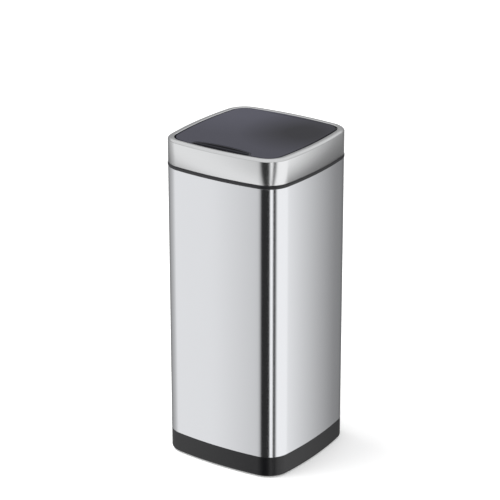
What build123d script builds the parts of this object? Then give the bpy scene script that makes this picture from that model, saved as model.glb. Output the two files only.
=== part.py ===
from build123d import *
from math import acos, cos, hypot, pi, radians, sin, sqrt, tan
import os

# Sensor kitchen bin, in millimetres.
# Origin on the floor under the middle of the bin, +Z up, front facing -Y.

# Outer form: a square with bowed sides and round corners
overall_height = 650.0
width = 280.0
side_bow = 740.0
corner_radius = 47.0

# Heights of the bands seen from outside
foot_proud = 2.0
base_top = 43.5
head_height = 49.5
seam_height = 7.0

# Body
sleeve_wall = 0.8
weld_groove_width = 1.0
weld_groove_depth = 0.3
slip_fit = 0.2
base_inset = 0.2
base_wall = 3.0
base_bottom_round = 4.0
base_top_round = 0.5
base_floor_bottom = 10.0
base_floor = 3.0
upstand_wall = 2.5
upstand_height = 16.0
base_rib = 2.0
base_rib_count = 4
base_rib_pitch = 54.0
foot_radius = 10.0
foot_socket_depth = 4.0
foot_boss_radius = 14.0
foot_inset = 55.0
rib_lift = 1.0
foot_edge = 1.0

# Collar between body and head
collar_proud = 0.9
collar_round = 2.6
collar_bead_depth = 6.4
collar_skirt_wall = 2.5
collar_skirt_drop = 26.0
ledge_drop = 8.0
ledge_thickness = 2.5
ledge_reach = 11.0

# Inner bucket and its wire handle
bucket_bottom = 16.0
bucket_wall = 2.0
bucket_floor = 2.5
bucket_top_inset = 13.6
bucket_bottom_inset = 25.0
bucket_rim_reach = 7.4
bucket_rim_height = 2.5
bail_wire = 2.0
bail_drop = 13.0
bail_gap = 4.5
bail_stub_proud = 1.0
running_fit = 0.05

# Steel head shell
shell_wall = 0.8
rim_round = 4.5
rim_front = 12.0
rim_side = 13.8
return_height = 9.0
head_gap = 0.2

# Plastic head frame
frame_clear = 0.3
frame_wall = 2.2
frame_shelf = 2.0
shelf_lift = 1.0
frame_flange = 2.0
flange_drop = 7.0
flange_setback = 1.0
seat_rib = 2.5
locating_drop = 6.5
locating_wall = 2.0
throat_side_margin = 31.0
throat_front_margin = 43.0
mechanism_depth = 38.0
throat_corner = 30.0
chute_wall = 2.2
chute_height = 34.0
bridge_thickness = 2.0
bridge_rib = 2.0

# Flap
flap_gap = 3.0
flap_top_drop = 0.5
flap_skin_thickness = 2.0
flap_skirt_wall = 2.0
flap_skirt_depth = 5.5
flap_edge_round = 1.2
flap_back_margin = 21.5
flap_liner_drop = 4.4
flap_liner_thickness = 1.6
flap_rib = 1.5
flap_rib_pitch = 42.0
flap_rib_count = 5
hinge_setback = 11.5
hinge_drop = 3.8
hinge_pin_radius = 1.75
pin_seat_fit = 0.02
pin_margin = 21.5
pin_length = 21.5
lug_half = 4.0
ear_thickness = 4.5
ear_gap = 1.0
ear_half = 4.0
strip_gap = 1.0
strip_thickness = 3.3
strip_web = 2.0
strip_web_end_margin = 45.0

# Sensor pod in the front of the opening
pod_half = 64.0
pod_depth = 27.0
pod_arc = 244.0
pod_corner = 10.0
pod_gap = 0.6
pod_wall = 1.5
pod_sink = 1.2
window_thickness = 1.6
pod_height = 9.8
sensor_board_half = 26.0
sensor_board_depth = 12.0
sensor_board_thickness = 1.2
sensor_board_setback = 1.0
sensor_eye_radius = 2.5
sensor_eye_spacing = 18.0
sensor_eye_height = 4.0

# Gear train: sector on the flap, two compound gears, motor pinion
pressure_angle = 20.0
addendum = 0.85
dedendum = 1.15
backlash = 0.16
sector_module, sector_teeth = 1.0, 32
pinion_teeth = 12
second_module, second_teeth = 0.6, 30
second_pinion_teeth = 10
first_module, first_teeth = 0.5, 36
motor_pinion_teeth = 10
sector_mesh_angle = 250.0
second_mesh_angle = 200.0
first_mesh_angle = 340.0
flap_travel = 75.0
sector_margin = 16.0
sector_rim = 7.0
sector_foot_height = 6.0
sector_foot_step = 2.0
sector_fan_steps = 4
sector_flange = 1.6
sector_flange_reach = 3.0
gear_bay_gap = 21.0
sector_thickness = 5.0
wheel_thickness = 3.0
wheel_gap = 1.5
face_overlap = 0.5
hub_step = 0.2
gear_shaft_radius = 1.5
motor_shaft_radius = 1.0
bracket_wall = 2.0
bracket_gap = 1.0
bracket_margin = 6.0
bracket_bevel = 4.0
bracket_toe = 2.0

# Motor, board, battery box, switch
motor_radius = 10.0
motor_length = 20.0
motor_cap_length = 3.0
motor_cap_step = 1.0
motor_terminal = 2.0
motor_terminal_spacing = 10.0
board_size_x, board_size_y, board_thickness = 20.0, 42.0, 1.6
board_side_margin = 40.0
board_setback = 13.5
component_margin = 1.0
relay_length, relay_width, relay_height = 12.0, 10.0, 9.0
relay_inset = 3.0
capacitor_radius, capacitor_height = 3.2, 12.0
chip_size, chip_height = 10.0, 1.2
chip_shift = 2.0
plug_width, plug_height = 6.0, 6.0
board_standoff = 4.5
cell_radius, cell_length = 13.1, 50.0
cell_gap = 0.5
cell_row_pitch = 27.2
cell_side_margin = 51.0
cell_row_setback = 5.6
cell_round = 0.8
battery_wall = 1.6
battery_clear = 0.5
battery_round = 1.2
contact_thickness = 0.9
contact_width, contact_height = 18.0, 20.0
contact_clear = 0.1
cell_button_radius = 3.2
cell_button_height = 1.6
door_thickness = 1.8
door_gap = 0.3
door_rib = 1.2
finger_recess_radius = 12.0
cover_thickness = 1.6
cover_gap = 0.4
cover_drop = 15.8
screw_radius, screw_head_radius, screw_head_height, screw_length = 1.5, 3.0, 1.8, 14.0
screw_head_round = 0.9
boss_radius = 4.0
boss_gap = 4.0
boss_front_setback = 26.5
boss_middle_setback = 10.0
boss_back_setback = 2.0
left_boss_margin = 38.0
right_boss_margin_x, right_boss_margin_y = 43.0, 20.0
motor_boss_x_offset = 10.0
switch_clearance = 10.0
switch_z_drop = 25.0
switch_width, switch_height, switch_depth = 17.6, 14.4, 17.0
switch_bezel_margin = 1.7
switch_bezel_proud = 1.0
switch_bezel_depth = 3.0
switch_back_gap = 1.0
rocker_pin_seat = 1.0
switch_wall = 2.6
rocker_gap = 0.3
rocker_tilt = 6.0
rocker_pin_radius = 1.2
rocker_back, rocker_proud, rocker_dip = 3.0, 5.9, 1.0
rocker_taper = 0.7

# How far a cutting tool passes the face that it cuts
over = 1.0

# Levels and centres worked out from the sizes above
half = width / 2
foot_place = half - foot_inset
head_bottom = overall_height - head_height
collar_bottom = head_bottom - seam_height
ledge_top = collar_bottom - ledge_drop
shell_bottom = head_bottom + head_gap
shelf_bottom = head_bottom + shelf_lift
shelf_top = shelf_bottom + frame_shelf
frame_inset = shell_wall + frame_clear
flange_top = overall_height - flange_drop + frame_flange
flap_top = overall_height - flap_top_drop
skin_bottom = flap_top - flap_skin_thickness
liner_top = flap_top - flap_liner_drop
liner_bottom = liner_top - flap_liner_thickness
hinge_z = overall_height - hinge_drop
flap_back = half - flap_back_margin
hinge_y = flap_back - hinge_setback
hinge_pin_outer = half - pin_margin
hinge_pin_inner = hinge_pin_outer - pin_length
strip_half = hinge_pin_inner - strip_web_end_margin
throat_x = half - throat_side_margin
throat_front = half - throat_front_margin
throat_back = hinge_y - mechanism_depth
cell_start_x = cell_side_margin - half
cell_row_y = hinge_y - cell_row_setback
battery_end = cell_start_x + 2 * cell_length + cell_gap + contact_thickness
battery_outside = battery_end + door_gap + battery_wall
switch_x = battery_outside + switch_clearance + switch_width / 2
gear_plane = battery_end + gear_bay_gap
board_centre_x = half - board_side_margin
board_centre_y = hinge_y - board_setback
cover_top = overall_height - cover_drop
cover_bottom = cover_top - cover_thickness
chute_top = shelf_bottom + chute_height
opening_half_x = half - rim_side
opening_half_y = half - (rim_front + rim_side) / 2
opening_y = (rim_front - rim_side) / 2
pod_top = overall_height - pod_sink
pod_bottom = pod_top - pod_height


def bowed_points(half_x, half_y, bow, corner):
    """Where a bowed side ends, the middle of the corner arc, and where the next side starts."""
    side_x, side_y = half_x - bow, half_y - bow
    reach = bow - corner
    span = hypot(side_x, side_y)
    rise = sqrt(reach**2 - span**2 / 4)
    centre = Vector(side_x / 2 - rise * side_y / span, side_y / 2 - rise * side_x / span)
    from_side = (centre - Vector(side_x, 0)) / reach
    from_back = (centre - Vector(0, side_y)) / reach
    on_side = Vector(side_x, 0) + from_side * bow
    on_corner = centre + (from_side + from_back).normalized() * corner
    on_back = Vector(0, side_y) + from_back * bow
    return [(point.X, point.Y) for point in (on_side, on_corner, on_back)]


def bowed_square(half_x, half_y, bow, corner):
    """A face with four bowed sides, joined by four tangent corner arcs."""
    side, middle, back = bowed_points(half_x, half_y, bow, corner)
    edges = []
    for sign in (1, -1):
        a, b, c = [(sign * x, sign * y) for x, y in (side, middle, back)]
        edges.append(ThreePointArc((a[0], -a[1]), (sign * half_x, 0), a))
        edges.append(ThreePointArc(a, b, c))
        edges.append(ThreePointArc(c, (0, sign * half_y), (-c[0], c[1])))
        edges.append(ThreePointArc((-c[0], c[1]), (-b[0], b[1]), (-a[0], a[1])))
    return make_face(edges)


def body_outline(inset):
    """The bin's outline, drawn in by a distance all round."""
    return bowed_square(half - inset, half - inset, side_bow - inset, corner_radius - inset)


def opening_outline(inset):
    """The opening in the steel rim, drawn in by a distance all round."""
    bow = side_bow - rim_side - inset
    corner = corner_radius - rim_side - inset
    return Pos(0, opening_y) * bowed_square(opening_half_x - inset, opening_half_y - inset, bow, corner)


def pod_outline(inset):
    """The sensor pod: straight ends, an arc inside and the rim's own bow in front."""
    pod_back = opening_y - opening_half_y + pod_depth - inset
    half_pod = pod_half - inset
    arc = Pos(0, pod_back - pod_arc) * Circle(pod_arc)
    front = opening_y - opening_half_y - 2 * pod_corner
    band = Pos(0, (front + pod_back) / 2) * Rectangle(2 * half_pod, pod_back - front)
    face = arc & band
    inner = face.vertices().sort_by(Axis.Y)[-2:]
    rounded = fillet(inner, pod_corner - inset)
    return rounded & opening_outline(pod_gap + max(inset, 0))


def slab(face, bottom, top):
    """Extrudes a flat face from one height to another."""
    return extrude(Pos(0, 0, bottom) * face, top - bottom)


def prism(inset, bottom, top):
    return slab(body_outline(inset), bottom, top)


def ring(outer_inset, inner_inset, bottom, top):
    return slab(body_outline(outer_inset) - body_outline(inner_inset), bottom, top)


def block(x0, x1, y0, y1, z0, z1):
    return Pos((x0 + x1) / 2, (y0 + y1) / 2, (z0 + z1) / 2) * Box(x1 - x0, y1 - y0, z1 - z0)


def post(x, y, radius, bottom, top):
    return Pos(x, y, (bottom + top) / 2) * Cylinder(radius, top - bottom)


def rod(y, z, radius, x0, x1):
    """A round bar along X."""
    return Pos((x0 + x1) / 2, y, z) * Rot(0, 90, 0) * Cylinder(radius, abs(x1 - x0))


def tooth_half_angle(radius, pitch_radius, teeth):
    """Half of a tooth's angle at a radius, on an involute flank."""
    base = pitch_radius * cos(radians(pressure_angle))
    roll_pitch = tan(radians(pressure_angle)) - radians(pressure_angle)
    angle = acos(min(1.0, base / max(radius, base)))
    return pi / (2 * teeth) - backlash / (2 * pitch_radius) + roll_pitch - (tan(angle) - angle)


def polar(radius, angle):
    return (radius * cos(angle), radius * sin(angle))


def tooth_edges(teeth, module, middle):
    """Root, flank, tip and flank of one tooth about the origin."""
    pitch_radius = teeth * module / 2
    base = pitch_radius * cos(radians(pressure_angle))
    tip, root = pitch_radius + addendum * module, pitch_radius - dedendum * module
    start = max(base, root)
    at_start, at_mid, at_tip = [
        tooth_half_angle(r, pitch_radius, teeth) for r in (start, (start + tip) / 2, tip)
    ]
    low = polar(root, middle - at_start)
    edges = []
    if start > root:
        edges.append(Line(low, polar(start, middle - at_start)))
    mid_radius = (start + tip) / 2
    edges.append(ThreePointArc(
        polar(start, middle - at_start), polar(mid_radius, middle - at_mid), polar(tip, middle - at_tip)))
    edges.append(ThreePointArc(
        polar(tip, middle - at_tip), polar(tip, middle), polar(tip, middle + at_tip)))
    edges.append(ThreePointArc(
        polar(tip, middle + at_tip), polar(mid_radius, middle + at_mid), polar(start, middle + at_start)))
    if start > root:
        edges.append(Line(polar(start, middle + at_start), polar(root, middle + at_start)))
    return edges, at_start, root


def gear_face(teeth, module, tooth_at):
    """A full gear's outline with a tooth centred at an angle in degrees."""
    edges = []
    for k in range(teeth):
        middle = radians(tooth_at) + 2 * pi * k / teeth
        tooth, spread, root = tooth_edges(teeth, module, middle)
        edges += tooth
        gap = middle + pi / teeth
        following = middle + 2 * pi / teeth
        edges.append(ThreePointArc(
            polar(root, middle + spread), polar(root, gap), polar(root, following - spread)))
    return make_face(edges)


def along_x(face, y, z, x0, x1):
    """Extrudes a face drawn in the YZ plane about (y, z) from one X to another."""
    return extrude(Pos(x0, y, z) * (Plane.YZ * face), x1 - x0, dir=(1, 0, 0))


def from_point(y, z, distance, angle):
    return y + distance * cos(radians(angle)), z + distance * sin(radians(angle))


# Gear centres, from the meshing distances
sector_distance = (sector_teeth + pinion_teeth) * sector_module / 2
second_distance = (second_teeth + second_pinion_teeth) * second_module / 2
first_distance = (first_teeth + motor_pinion_teeth) * first_module / 2
second_y, second_z = from_point(hinge_y, hinge_z, sector_distance, sector_mesh_angle)
first_y, first_z = from_point(second_y, second_z, second_distance, second_mesh_angle)
motor_y, motor_z = from_point(first_y, first_z, first_distance, first_mesh_angle)

# Gear planes along X
sector_end = gear_plane + sector_thickness
second_wheel_x = sector_end + face_overlap + wheel_gap
second_wheel_end = second_wheel_x + wheel_thickness
first_wheel_x = second_wheel_end + face_overlap + wheel_gap
first_wheel_end = first_wheel_x + wheel_thickness
bracket_left = gear_plane - face_overlap - bracket_gap - bracket_wall
bracket_right = first_wheel_end + face_overlap + bracket_gap
motor_start = bracket_right + bracket_wall

# Screws that hold the bay cover down, on bosses round the mechanism
battery_boss_x = battery_outside + boss_gap / 2 + boss_radius
screw_places = [
    (battery_boss_x, hinge_y - boss_front_setback),
    (battery_boss_x, hinge_y - boss_middle_setback),
    (motor_start + motor_boss_x_offset, hinge_y - boss_front_setback),
    (half - right_boss_margin_x, half - right_boss_margin_y),
    (left_boss_margin - half, hinge_y - boss_front_setback),
    (left_boss_margin - half, hinge_y + boss_back_setback),
]


def base_tray():
    """Moulded base: skirt, floor, ribs below, upstand inside the sleeve, sockets for the feet."""
    skirt = prism(base_inset, foot_proud, base_top)
    skirt = fillet(skirt.edges().group_by(Axis.Z)[0], base_bottom_round)
    skirt = fillet(skirt.edges().group_by(Axis.Z)[-1], base_top_round)
    upstand_inset = sleeve_wall + slip_fit
    tray = skirt + prism(upstand_inset, base_top - base_wall, base_top + upstand_height)
    floor_top = base_floor_bottom + base_floor
    tray -= prism(upstand_inset + upstand_wall, floor_top, base_top + upstand_height + over)
    underside = prism(base_inset + base_wall + base_bottom_round / 2, foot_proud - over, base_floor_bottom)
    tray -= underside
    ribs = Part()
    for k in range(base_rib_count):
        place = (k - (base_rib_count - 1) / 2) * base_rib_pitch
        low, high = place - base_rib / 2, place + base_rib / 2
        ribs += block(low, high, -half, half, foot_proud + rib_lift, base_floor_bottom)
        ribs += block(-half, half, low, high, foot_proud + rib_lift, base_floor_bottom)
    for sx in (-1, 1):
        for sy in (-1, 1):
            ribs += post(sx * foot_place, sy * foot_place, foot_boss_radius, foot_proud, base_floor_bottom)
    tray += ribs & underside
    for sx in (-1, 1):
        for sy in (-1, 1):
            tray -= post(sx * foot_place, sy * foot_place, foot_radius + running_fit,
                         foot_proud - over, foot_proud + foot_socket_depth)
    return tray


def rubber_feet():
    feet = []
    for sx in (-1, 1):
        for sy in (-1, 1):
            foot = post(sx * foot_place, sy * foot_place, foot_radius, 0, foot_proud + foot_socket_depth)
            feet.append(chamfer(foot.edges().sort_by(Axis.Z)[0], foot_edge))
    return Compound(feet)


def steel_sleeve():
    """Rolled stainless sleeve, butt-welded at the back."""
    sleeve = ring(0, sleeve_wall, base_top, collar_bottom)
    groove = block(-weld_groove_width / 2, weld_groove_width / 2, half - weld_groove_depth, half + over,
                   base_top - over, collar_bottom + over)
    return sleeve - groove


def trim_collar():
    """Black ring that closes the sleeve: a rounded bead, a skirt inside and a ledge for the bucket."""
    bead = prism(-collar_proud, collar_bottom, head_bottom)
    bead = fillet(bead.edges().group_by(Axis.Z)[0] + bead.edges().group_by(Axis.Z)[-1], collar_round)
    bead -= prism(collar_bead_depth - collar_proud, collar_bottom - over, head_bottom + over)
    skirt_inset = sleeve_wall + slip_fit
    skirt = ring(skirt_inset, skirt_inset + collar_skirt_wall, collar_bottom - collar_skirt_drop,
                 collar_bottom + collar_round)
    ledge = ring(skirt_inset, skirt_inset + ledge_reach, ledge_top - ledge_thickness, ledge_top)
    return bead + skirt + ledge


def bucket_inset(z):
    """How far the bucket's outside lies inside the bin's outline at a height."""
    share = (z - bucket_bottom) / (ledge_top - bucket_bottom)
    return bucket_bottom_inset + (bucket_top_inset - bucket_bottom_inset) * share


def inner_bucket():
    """Tapered lift-out bucket with a flat rim that hangs on the collar's ledge."""
    rim_top = ledge_top + bucket_rim_height
    floor_top = bucket_bottom + bucket_floor
    outside = loft([
        Pos(0, 0, bucket_bottom) * body_outline(bucket_bottom_inset),
        Pos(0, 0, rim_top) * body_outline(bucket_inset(rim_top))], ruled=True)
    inside = loft([
        Pos(0, 0, floor_top) * body_outline(bucket_inset(floor_top) + bucket_wall),
        Pos(0, 0, rim_top) * body_outline(bucket_inset(rim_top) + bucket_wall)], ruled=True)
    rim = prism(bucket_top_inset - bucket_rim_reach, ledge_top + slip_fit, rim_top)
    bucket = outside + rim - inside
    bail_z = ledge_top - bail_drop
    bucket -= rod(0, bail_z, bail_wire + running_fit, -half, half)
    return bucket


def bucket_handle():
    """Wire bail that lies round the front of the bucket's mouth."""
    bail_z = ledge_top - bail_drop
    inset = bucket_inset(bail_z) + bucket_wall + bail_wire + bail_gap
    reach = half - inset
    side, corner, back = bowed_points(reach, reach, side_bow - inset, corner_radius - inset)
    mid_side = (reach - side[1] ** 2 / 8 / (side_bow - inset), -side[1] / 2)
    path = Wire([
        ThreePointArc((reach, 0), mid_side, (side[0], -side[1])),
        ThreePointArc((side[0], -side[1]), (corner[0], -corner[1]), (back[0], -back[1])),
        ThreePointArc((back[0], -back[1]), (0, -reach), (-back[0], -back[1])),
        ThreePointArc((-back[0], -back[1]), (-corner[0], -corner[1]), (-side[0], -side[1])),
        ThreePointArc((-side[0], -side[1]), (-mid_side[0], mid_side[1]), (-reach, 0))])
    path = Pos(0, 0, bail_z) * path
    wire_end = Plane(origin=path @ 0, z_dir=path % 0) * Circle(bail_wire)
    bail = sweep(wire_end, path=path)
    outer = half - bucket_inset(bail_z) + bail_stub_proud
    for sign in (-1, 1):
        bail += Pos(sign * reach, 0, bail_z) * Sphere(bail_wire)
        bail += rod(0, bail_z, bail_wire, min(sign * reach, sign * outer), max(sign * reach, sign * outer))
    return bail


def pin_cutout(margin):
    """The space at each side where a hinge pin and its ear pass the rim's return."""
    cut = Part()
    for sign in (-1, 1):
        x0, x1 = sorted((sign * hinge_pin_inner, sign * (hinge_pin_outer + margin)))
        cut += block(x0, x1, hinge_y - ear_half - margin, hinge_y + ear_half + margin,
                     hinge_z - hinge_drop - 2 * margin, overall_height - shell_wall)
    return cut


def switch_opening(margin):
    """The square hole through the back of the head for the power switch."""
    z = overall_height - switch_z_drop
    return block(switch_x - switch_width / 2 - margin, switch_x + switch_width / 2 + margin,
                 half - switch_depth, half + collar_proud,
                 z - switch_height / 2 - margin, z + switch_height / 2 + margin)


def head_shell():
    """Drawn steel ring: side wall, rolled-over rim and a return flange down into the opening."""
    outside = prism(0, shell_bottom, overall_height)
    outside = fillet(outside.edges().group_by(Axis.Z)[-1], rim_round)
    inside = prism(shell_wall, shell_bottom - over, overall_height - shell_wall)
    inside = fillet(inside.edges().group_by(Axis.Z)[-1], rim_round - shell_wall)
    return_top = overall_height - return_height
    shell = outside - inside
    shell -= slab(opening_outline(0), shell_bottom, overall_height + over)
    flange = opening_outline(-shell_wall) - opening_outline(0)
    shell += slab(flange, return_top, overall_height - shell_wall)
    return shell - pin_cutout(ear_gap) - switch_opening(door_gap)


def ear(sign):
    """Bearing ear for a hinge pin, standing on the frame's shelf."""
    x0, x1 = sorted((sign * (hinge_pin_outer - ear_thickness), sign * hinge_pin_outer))
    upright = block(x0, x1, hinge_y - ear_half, hinge_y + ear_half, shelf_bottom,
                    overall_height - shell_wall - frame_clear)
    y0, y1 = hinge_y - frame_shelf / 2, hinge_y + frame_shelf / 2
    web_start, web_end = sorted((sign * hinge_pin_outer, sign * half))
    web = block(web_start, web_end, y0, y1, shelf_bottom, flange_top - frame_flange) & prism(
        frame_inset + frame_wall / 2, shelf_bottom, overall_height)
    return upright + web


def head_frame():
    """Moulded frame in the head: wall, shelf, chute, hinge ears, pod bridge and bosses."""
    inner_inset = frame_inset + frame_wall
    flange_reach = rim_side - shell_wall - frame_clear - flange_setback
    rim_under = overall_height - shell_wall - frame_clear
    frame = ring(frame_inset, inner_inset, shelf_bottom, flange_top)
    frame += ring(frame_inset, flange_reach, flange_top - frame_flange, flange_top) & slab(
        body_outline(0) - opening_outline(-shell_wall - frame_clear), shelf_bottom, overall_height)
    seat = body_outline(flange_reach - seat_rib) - body_outline(flange_reach)
    frame += slab(seat, flange_top - frame_flange, rim_under) & slab(
        body_outline(0) - opening_outline(-shell_wall - frame_clear), shelf_bottom, overall_height)
    throat_y = (throat_back - throat_front) / 2
    throat = Pos(0, throat_y) * RectangleRounded(2 * throat_x, throat_back + throat_front, throat_corner)
    chute = Pos(0, throat_y) * RectangleRounded(
        2 * (throat_x + chute_wall), throat_back + throat_front + 2 * chute_wall,
        throat_corner + chute_wall)
    frame += prism(frame_inset + frame_wall / 2, shelf_bottom, shelf_top)
    frame += slab(chute, shelf_bottom, chute_top)
    frame += ring(collar_bead_depth + slip_fit, collar_bead_depth + slip_fit + locating_wall,
                  shelf_bottom - locating_drop, shelf_bottom + frame_shelf / 2)
    front = prism(frame_inset + frame_wall / 2, shelf_bottom, overall_height)
    bridge = block(-pod_half, pod_half, -half, -throat_front - chute_wall / 2,
                   chute_top, chute_top + bridge_thickness)
    for sign in (-1, 1):
        x0, x1 = sorted((sign * pod_half, sign * (pod_half - bridge_rib)))
        bridge += block(x0, x1, -half, -throat_front - chute_wall / 2,
                        shelf_bottom, chute_top + bridge_thickness)
        frame += ear(sign)
    frame += bridge & front
    for x, y in screw_places:
        frame += post(x, y, boss_radius, shelf_bottom, cover_bottom)
    for sx in (-1, 1):
        for sy in (-1, 1):
            frame += post(board_centre_x + sx * (board_size_x / 2 - boss_radius / 2),
                          board_centre_y + sy * (board_size_y / 2 - boss_radius / 2),
                          boss_radius / 2, shelf_bottom, shelf_top + board_standoff)
    frame -= slab(throat, shelf_bottom - over, overall_height)
    frame -= battery_well(door_gap, shelf_bottom - locating_drop - over, shelf_top + over)
    for x, y in screw_places:
        frame -= post(x, y, screw_radius + running_fit,
                      cover_top - screw_length - over, cover_bottom + over)
    pin_hole = rod(hinge_y, hinge_z, hinge_pin_radius + running_fit, -half, half)
    frame -= pin_hole & (block(-half, -throat_x - chute_wall, 0, half, shelf_top, overall_height)
                         + block(throat_x + chute_wall, half, 0, half, shelf_top, overall_height)
                         ) & prism(rim_side / 2, shelf_top, overall_height)
    return frame - switch_opening(door_gap)


def rear_strip():
    """Straight hinge strip that fills the bow of the rim behind the flap."""
    behind = Pos(0, half + flap_back + strip_gap) * Rectangle(2 * width, width)
    top = overall_height - shell_wall
    strip = slab(opening_outline(door_gap) & behind, top - strip_thickness, top)
    web_y = flap_back + strip_gap + strip_web
    web = block(-strip_half, strip_half, web_y, web_y + strip_web, cover_top, top - strip_thickness / 2)
    sector_slot = block(bracket_left, second_wheel_end, web_y - over, web_y + strip_web + over,
                        cover_top - over, top - strip_thickness)
    return strip + web - sector_slot


def flap_outline(inset):
    """The flap's plan: the opening less its gap, straight at the hinge, notched for the pod."""
    back = flap_back - inset
    front = Pos(0, back - width) * Rectangle(2 * width, 2 * width)
    return (opening_outline(flap_gap + inset) & front) - pod_outline(-ear_gap - inset)


def flap_skin():
    """Top skin of the flap with a skirt that stops short of the hinge line."""
    skin = slab(flap_outline(0), skin_bottom, flap_top)
    skin = fillet(skin.edges().group_by(Axis.Z)[-1], flap_edge_round)
    skirt_bottom = skin_bottom - flap_skirt_depth
    skirt = slab(flap_outline(0) - flap_outline(flap_skirt_wall), skirt_bottom, skin_bottom)
    hinge_line = block(-half, half, hinge_y - lug_half, half, skirt_bottom - over, skin_bottom)
    flap = skin + (skirt - hinge_line)
    groove = hinge_pin_radius + pin_seat_fit
    return flap - rod(hinge_y, hinge_z, groove, -half, -hinge_pin_inner) - rod(
        hinge_y, hinge_z, groove, hinge_pin_inner, half)


def flap_liner():
    """Underside panel of the flap with stiffening ribs and the two hinge lugs."""
    plan = flap_outline(flap_skirt_wall + slip_fit)
    ahead = Pos(0, hinge_y - width) * Rectangle(2 * width, 2 * width)
    liner = slab(plan & ahead, liner_bottom, liner_top)
    ribs = Part()
    for k in range(flap_rib_count):
        place = (k - (flap_rib_count - 1) / 2) * flap_rib_pitch
        low, high = place - flap_rib / 2, place + flap_rib / 2
        ribs += block(low, high, -half, half, liner_bottom, skin_bottom - slip_fit)
        ribs += block(-half, half, low, high, liner_bottom, skin_bottom - slip_fit)
    liner += ribs & slab(plan & ahead, liner_bottom, skin_bottom)
    for sign in (-1, 1):
        x0, x1 = sorted((sign * hinge_pin_inner, sign * half))
        lug = block(x0, x1, hinge_y - 2 * lug_half, hinge_y + lug_half / 2,
                    liner_bottom, skin_bottom - slip_fit)
        liner += lug & slab(plan, liner_bottom, skin_bottom)
        liner -= rod(hinge_y, hinge_z, hinge_pin_radius + pin_seat_fit,
                     *sorted((sign * hinge_pin_inner, sign * half)))
    return liner


def hinge_pins():
    pins = []
    for sign in (-1, 1):
        x0, x1 = sorted((sign * hinge_pin_inner, sign * (hinge_pin_outer - slip_fit)))
        pins.append(rod(hinge_y, hinge_z, hinge_pin_radius, x0, x1))
    return Compound(pins)


def sector_gear():
    """Toothed sector under the flap, bolted to its liner, centred on the hinge line."""
    pitch_radius = sector_teeth * sector_module / 2
    first = sector_mesh_angle - sector_margin
    last = sector_mesh_angle + flap_travel + sector_margin
    fan = [polar(2 * pitch_radius, radians(first + (last - first) * k / sector_fan_steps))
           for k in range(sector_fan_steps + 1)]
    wheel = gear_face(sector_teeth, sector_module, sector_mesh_angle)
    wheel &= make_face(Polyline(*fan, (0, 0), close=True))
    sector = along_x(wheel, hinge_y, hinge_z, gear_plane, sector_end)
    foot_front, foot_back = hinge_y - pitch_radius + sector_foot_step, hinge_y + pitch_radius / 2
    foot = block(gear_plane, sector_end, foot_front, foot_back,
                 liner_bottom - sector_foot_height, liner_bottom)
    root_radius = pitch_radius - dedendum * sector_module
    foot &= rod(hinge_y, hinge_z, root_radius - hub_step, gear_plane, sector_end)
    sector = (sector & block(gear_plane, sector_end, 0, half, 0, liner_bottom)) + foot
    sector -= rod(hinge_y, hinge_z, pitch_radius - sector_rim, gear_plane - over, sector_end + over)
    return sector + block(gear_plane - sector_flange_reach, sector_end + sector_flange_reach,
                          foot_front + sector_foot_step, hinge_y - sector_rim,
                          liner_bottom - sector_flange, liner_bottom)


def compound_gear(y, z, pinion, pinion_x, wheel, wheel_x, shaft_x):
    """A pinion and a wheel moulded on one steel shaft. Each is (teeth, module, tooth angle)."""
    part = along_x(gear_face(*pinion), y, z, *pinion_x)
    part += along_x(gear_face(*wheel), y, z, *wheel_x)
    hub = pinion[0] * pinion[1] / 2 - dedendum * pinion[1] - hub_step
    part += rod(y, z, hub, min(pinion_x[0], wheel_x[0]), max(pinion_x[1], wheel_x[1]))
    return part + rod(y, z, gear_shaft_radius, *shaft_x)


def second_gear():
    """Drives the flap's sector, driven by the first gear."""
    tooth_gap = 180 / pinion_teeth
    pinion = (pinion_teeth, sector_module, sector_mesh_angle + 180 + tooth_gap)
    wheel = (second_teeth, second_module, second_mesh_angle)
    return compound_gear(second_y, second_z, pinion, (gear_plane - face_overlap, sector_end + face_overlap),
                         wheel, (second_wheel_x, second_wheel_end),
                         (bracket_left + slip_fit, motor_start - slip_fit))


def first_gear():
    """Driven by the motor pinion."""
    tooth_gap = 180 / second_pinion_teeth
    pinion = (second_pinion_teeth, second_module, second_mesh_angle + 180 + tooth_gap)
    wheel = (first_teeth, first_module, first_mesh_angle)
    return compound_gear(first_y, first_z, pinion,
                         (second_wheel_x - face_overlap, second_wheel_end + face_overlap),
                         wheel, (first_wheel_x, first_wheel_end),
                         (bracket_left + slip_fit, motor_start - slip_fit))


def motor_pinion():
    tooth_gap = 180 / motor_pinion_teeth
    face = gear_face(motor_pinion_teeth, first_module, first_mesh_angle + 180 + tooth_gap)
    start, end = first_wheel_x - face_overlap, first_wheel_end + face_overlap
    pinion = along_x(face, motor_y, motor_z, start, end)
    return pinion + rod(motor_y, motor_z, motor_shaft_radius, start, motor_start + motor_length / 2)


def bracket_face():
    """Side profile of the gear bracket: it stands on the shelf and wraps the three shafts."""
    front, back = first_y - bracket_margin - bracket_toe, second_y + 2 * bracket_margin
    low = shelf_top + door_gap
    return make_face(Polyline(
        (front, low), (back, low), (back, second_z - bracket_margin / 2),
        (second_y + bracket_margin, second_z + bracket_bevel),
        (second_y - bracket_bevel, second_z + bracket_margin), (front, first_z + 2 * bracket_margin),
        (front, low)))


def gear_bracket():
    """U bracket that carries the gears' shafts and the motor."""
    face = bracket_face()
    bracket = along_x(face, 0, 0, bracket_right, motor_start)
    box = face.bounding_box()
    bracket += block(bracket_left + bracket_wall, motor_start, box.min.X, box.max.X,
                     shelf_top + door_gap, shelf_top + door_gap + bracket_wall)
    return bracket - bracket_bores(motor_start)


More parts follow.
